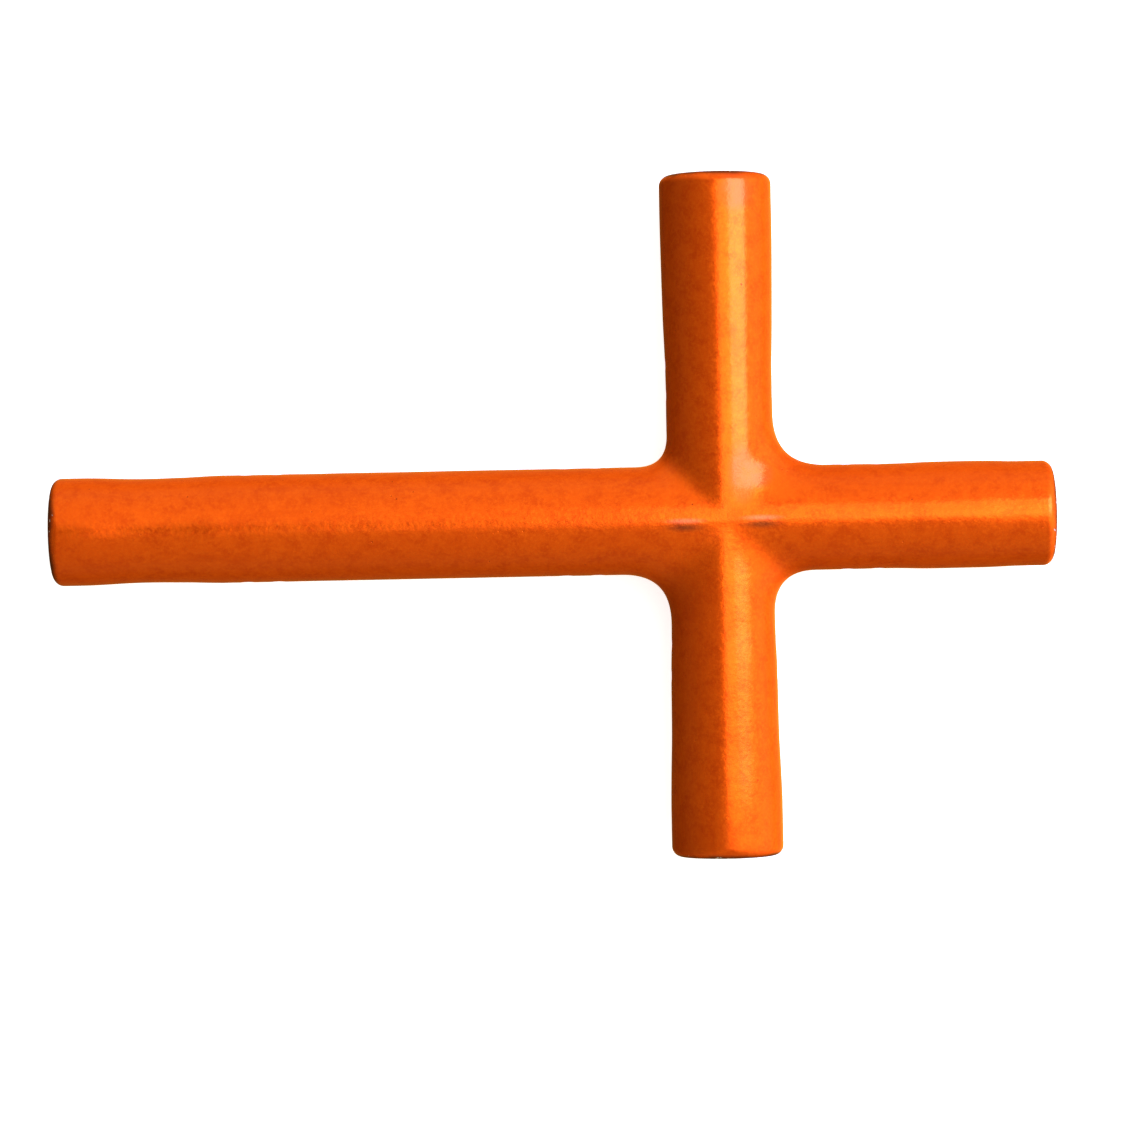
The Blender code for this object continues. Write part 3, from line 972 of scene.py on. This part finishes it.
class WRENCH_OT_core_plugs(bpy.types.Operator):
    """Model the pressed cups at the floors of the sockets"""

    bl_idname = "wrench.core_plugs"
    bl_label = "Core plugs"

    def execute(self, context):
        for side, node in HEAD_NODES.items():
            _, flat = socket_radii(side)
            radius, face = flat - 0.0006, REACH[side] - sizes().socket_depth
            back, inner = face - PLUG_HEIGHT, radius - PLUG_SHEET
            outline = [(face - FIT, 0.0), (face - FIT, radius * 0.55), (face, radius * 0.62)]
            outline += arc((face - PLUG_BEND, radius - PLUG_BEND), PLUG_BEND, 0, 90, 6)
            outline += [(back, radius), (back, inner), (face - PLUG_SHEET, inner), (face - PLUG_SHEET, 0.0)]
            piece = lathe(f"{side}_pressed_plug", outline, side, steps=96, closed=False)
            set_surface(piece, bare=lambda co: 1.0, wear=lambda co: 0.25)
            steel = material("pressed_steel", steel_material, finish().steel, 0.06, 0.38)
            finish_piece(piece, "bare_steel", steel, f"core_plug_{node}")
        return {"FINISHED"}


def slotted_pin(name):
    """One slotted spring pin about Z: an open strip bent round, thickened and chamfered."""
    radius, inwards = sizes().pin_radius, 0.0006
    deselect()
    bpy.ops.mesh.primitive_plane_add(size=0.001, location=(radius - inwards, 0, -PIN_HALF))
    piece = new_piece(name)
    with editing(piece):
        bpy.ops.mesh.select_all(action="SELECT")
        bpy.ops.mesh.merge(type="CENTER")
        for outwards, along in ((inwards, CHAMFER), (0.0, 2 * PIN_HALF - 2 * CHAMFER), (-inwards, CHAMFER)):
            bpy.ops.mesh.extrude_region_move(TRANSFORM_OT_translate={"value": (outwards, 0, along)})
        bpy.ops.mesh.select_all(action="SELECT")
        bpy.ops.mesh.spin(steps=28, angle=math.radians(330), center=(0, 0, 0), axis=(0, 0, 1))
        bpy.ops.mesh.select_all(action="SELECT")
        bpy.ops.mesh.normals_make_consistent(inside=False)
    apply_place(piece)
    apply_modifier(piece, "SOLIDIFY", "wall", thickness=PIN_WALL, offset=-1)
    return piece


class WRENCH_OT_spring_pins(bpy.types.Operator):
    """Model one slotted spring pin and copy it into every joint"""

    bl_idname = "wrench.spring_pins"
    bl_label = "Spring pins"

    def execute(self, context):
        steel = material("spring_steel", steel_material, finish().dark_steel, 0.02, 0.42)
        pattern = slotted_pin("pin_pattern")
        for joint, stations in PIN_STATIONS.items():
            for number_in_joint, station in enumerate(stations, 1):
                middle, line = pin_axis(joint, station)
                piece = pattern.copy()
                piece.data = pattern.data.copy()
                piece.name = piece.data.name = f"slotted_pin_{joint}_{number_in_joint}"
                context.scene.collection.objects.link(piece)
                turn = line.to_track_quat("Z", "Y").to_matrix().to_4x4()
                piece.matrix_world = Matrix.Translation(middle) @ turn
                apply_place(piece)
                set_surface(piece, bare=lambda co: 0.0,
                            wear=lambda co: abs((co - middle).dot(line)) / PIN_HALF - 0.12)
                finish_piece(piece, "spring_steel", steel, f"spring_pin_{joint}_{number_in_joint}")
        bpy.data.objects.remove(pattern, do_unlink=True)
        return {"FINISHED"}


# ---------------------------------------------------------------- studio


def soft_light(name, direction, lean, distance, size, power, along=0.0, colour=(1, 1, 1)):
    """A rectangular soft box that leans from overhead towards a direction and faces the hub.

    Its second side runs level, at right angles to the lean, and it may be shifted along that side.
    """
    lamp = bpy.data.lights.new(name, "AREA")
    lamp.shape = "RECTANGLE"
    lamp.size, lamp.size_y = size
    lamp.energy = power
    lamp.color = colour
    stand = bpy.data.objects.new(name, lamp)
    bpy.context.scene.collection.objects.link(stand)
    level = UP.cross(direction)
    line = direction * math.sin(lean) + UP * math.cos(lean)
    axes = Matrix((level.cross(line), level, line)).transposed()
    stand.matrix_world = Matrix.Translation(HUB + line * distance + level * along) @ axes.to_4x4()


def studio_air():
    """Soft light all round: a bright white wall to the east, dimmer ones north and south, a dark one west."""
    world = bpy.data.worlds.new("studio_air")
    air = NodeTree(world)
    settings = studio()
    parts = air.nodes.new("ShaderNodeSeparateXYZ")
    air.links.new(air.nodes.new("ShaderNodeTexCoord").outputs["Generated"], parts.inputs["Vector"])
    x, y, z = parts.outputs

    def step(value, softness):
        return air.ramp(value, -softness, softness)

    def blend(share, low, high):
        return air.ramp(share, 0.0, 1.0, low, high, shape="LINEAR")

    away_x, away_y = air.math("ABSOLUTE", x), air.math("ABSOLUTE", y)
    sideways = air.math("DIVIDE", air.math("SUBTRACT", away_x, away_y), air.math("ADD", away_x, away_y))
    east_west = blend(step(x, settings.wall_softness), settings.west_wall, settings.east_wall)
    north = step(air.math("ADD", y, settings.wall_shift), settings.wall_softness)
    north_south = blend(north, settings.south_wall, settings.north_wall)
    light = blend(step(sideways, settings.corner_softness), north_south, east_west)
    light = air.math("MULTIPLY", light, blend(z, 1 - settings.wall_fall, 1.0))
    above = step(air.math("ADD", z, settings.horizon), settings.horizon_softness)
    background = air.nodes["Background"].inputs
    air.connect(background["Strength"], light)
    air.connect(background["Color"], air.mix(above, settings.floor_bounce, settings.wall_colour))
    return world


class WRENCH_OT_studio(bpy.types.Operator):
    """Set up the pale floor, the soft lights and the camera"""

    bl_idname = "wrench.studio"
    bl_label = "Studio"

    def execute(self, context):
        settings = studio()
        deselect()
        bpy.ops.mesh.primitive_plane_add(size=8.0, location=(HUB.x, HUB.y, 0))
        floor = new_piece("floor")
        apply_place(floor)
        cover = Shader("white_table")
        cover.set(Base_Color=tuple(settings.floor), Roughness=0.6, Specular_IOR_Level=0.2)
        cover.set(Emission_Color=(1, 1, 1, 1), Emission_Strength=settings.floor_glow)
        floor.data.materials.append(cover.material)
        floor.visible_diffuse = False
        floor.visible_glossy = False

        east, core = OUTWARDS["east"], settings.core_colour
        soft_light("window", east, lean=math.radians(29), distance=1.1, size=(1.24, 0.72),
                   power=settings.window_power, along=0.26)
        soft_light("north_core", east, lean=math.radians(42), distance=1.05, size=(0.66, 0.56),
                   power=settings.north_core_power, along=0.29, colour=core)
        soft_light("south_core", east, lean=math.radians(38), distance=1.05, size=(0.44, 0.12),
                   power=settings.south_core_power, along=-0.07, colour=core)
        context.scene.world = studio_air()
        context.scene.view_settings.view_transform = "Standard"

        lens = bpy.data.cameras.new("camera")
        camera = bpy.data.objects.new("camera", lens)
        context.scene.collection.objects.link(camera)
        camera.location = (HUB.x + settings.view_shift_x, HUB.y + settings.view_shift_y,
                           HUB.z + settings.camera_height)
        camera.rotation_euler = (0, 0, settings.camera_roll)
        lens.sensor_width = 36
        lens.lens = lens.sensor_width * settings.camera_height / settings.view_width
        lens.clip_end = 50
        context.scene.camera = camera
        return {"FINISHED"}


# ---------------------------------------------------------------- add-on


class WRENCH_PT_panel(bpy.types.Panel):
    bl_label = "Hydrant wrench"
    bl_idname = "WRENCH_PT_panel"
    bl_space_type = "VIEW_3D"
    bl_region_type = "UI"
    bl_category = "Wrench"

    def draw(self, context):
        for group in (sizes(), finish(), studio()):
            box = self.layout.box()
            for name in group.bl_rna.properties.keys():
                if name not in ("rna_type", "name"):
                    box.prop(group, name)
        for operator in OPERATORS:
            self.layout.operator(operator.bl_idname)


GROUPS = {"wrench_sizes": WrenchSizes, "wrench_finish": WrenchFinish, "wrench_studio": WrenchStudio}
OPERATORS = (WRENCH_OT_studio, WRENCH_OT_cross_hub, WRENCH_OT_long_arm_tube, WRENCH_OT_socket_heads,
             WRENCH_OT_core_plugs, WRENCH_OT_spring_pins)


def register():
    for name, group in GROUPS.items():
        bpy.utils.register_class(group)
        setattr(bpy.types.Scene, name, PointerProperty(type=group))
    for item in (*OPERATORS, WRENCH_PT_panel):
        bpy.utils.register_class(item)


def unregister():
    for item in (WRENCH_PT_panel, *reversed(OPERATORS)):
        bpy.utils.unregister_class(item)
    for name, group in reversed(GROUPS.items()):
        delattr(bpy.types.Scene, name)
        bpy.utils.unregister_class(group)


def main():
    register()
    bpy.ops.wrench.studio()
    bpy.ops.wrench.cross_hub()
    bpy.ops.wrench.long_arm_tube()
    bpy.ops.wrench.socket_heads()
    bpy.ops.wrench.core_plugs()
    bpy.ops.wrench.spring_pins()


if __name__ == "__main__":
    main()
